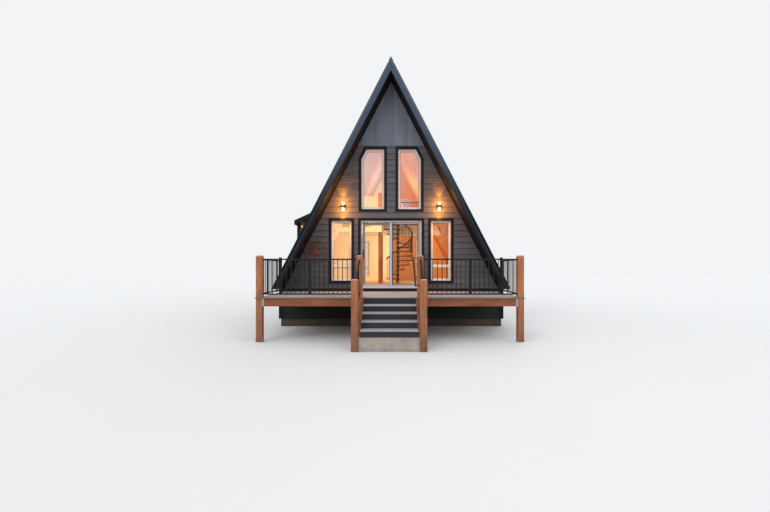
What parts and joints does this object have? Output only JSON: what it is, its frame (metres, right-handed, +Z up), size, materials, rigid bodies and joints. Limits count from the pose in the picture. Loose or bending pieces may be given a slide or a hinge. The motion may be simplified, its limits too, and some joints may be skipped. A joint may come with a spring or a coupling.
{
  "type": "a-frame cabin",
  "caption": "Steep a-frame cabin on a raised platform, with a sliding glass door, insect screen, loft, spiral stair, side dormer, timber deck and front stair.",
  "frame": {"origin": "centre of the bounding box's base, on the lowest ground that the foundation and posts reach", "axes": "+Y runs from the front stair to the rear gable, along the ridge; +X is the right-hand side seen from the front; +Z is up"},
  "size_m": [6.84, 12.95, 7.8162],
  "materials": {
    "concrete": "cast concrete, matt",
    "siding": "painted lap siding, matt",
    "gable_cladding": "painted board and batten, matt",
    "dark_trim": "painted trim boards, satin",
    "roof_metal": "dark standing seam metal, satin",
    "floor_wood": "oiled floor boards, satin",
    "white_frame": "white window profile, satin",
    "door_sash": "light grey door profile, satin",
    "glass": "clear double glazing",
    "insect_mesh": "dark insect mesh",
    "plaster": "cream painted lining, matt",
    "black_metal": "black powder coat, satin",
    "bright_steel": "galvanised steel, satin",
    "rusted_metal": "rust brown metal, matt",
    "timber": "stained cedar, matt",
    "deck_board": "light grey composite boards, matt",
    "riser_board": "dark grey painted boards, matt"
  },
  "bodies": {
    "cabin": {"foundation_ends": "concrete", "foundation_sides": "concrete", "stair_footing": "concrete", "skirt_ends": "siding", "skirt_sides": "siding", "front_wall_left": "siding", "front_wall_right": "siding", "front_wall_upper": "siding", "rear_wall": "siding", "dormer_cheeks": "siding", "dormer_side_wall": "siding", "gable_panels": "gable_cladding", "skirt_corners": "dark_trim", "frieze_boards": "dark_trim", "opening_trims": "dark_trim", "rake_fascia_left": "dark_trim", "rake_fascia_right": "dark_trim", "roof_right": "roof_metal", "roof_left_ends": "roof_metal", "roof_left_upper": "roof_metal", "ridge_cap": "roof_metal", "dormer_roof": "roof_metal", "main_floor": "floor_wood", "loft_floor": "floor_wood", "loft_walkway": "floor_wood", "side_window_frames": "white_frame", "upper_window_frames": "white_frame", "door_frame": "white_frame", "fixed_sash": "door_sash", "loft_half_wall": "plaster", "side_window_glass": "glass", "upper_window_glass": "glass", "fixed_glass": "glass", "wall_lights": "black_metal", "loft_guard": "black_metal", "spiral_pole": "black_metal", "spiral_treads": "black_metal", "spiral_railing": "black_metal", "deck_railings": "black_metal", "stair_railings": "black_metal", "stair_handrail": "black_metal", "wall_ornament": "rusted_metal", "post_steel": "bright_steel", "loft_beams": "timber", "loft_posts": "timber", "deck_rims": "timber", "deck_joists": "timber", "timber_posts": "timber", "stair_stringers": "timber", "deck_surface": "deck_board", "stair_treads": "deck_board", "stair_risers": "riser_board"},
    "sliding_door": {"sliding_sash": "door_sash", "sliding_glass": "glass", "door_handle": "black_metal"},
    "screen_door": {"screen_frame": "door_sash", "screen_mesh": "insect_mesh"}
  },
  "joints": [
    {"name": "sliding_door_slide", "type": "slide", "parent": "cabin", "child": "sliding_door", "axis": [1, 0, 0], "range_m": [0, 0.77]},
    {"name": "screen_door_slide", "type": "slide", "parent": "cabin", "child": "screen_door", "axis": [1, 0, 0], "range_m": [-0.83, 0]}
  ]
}
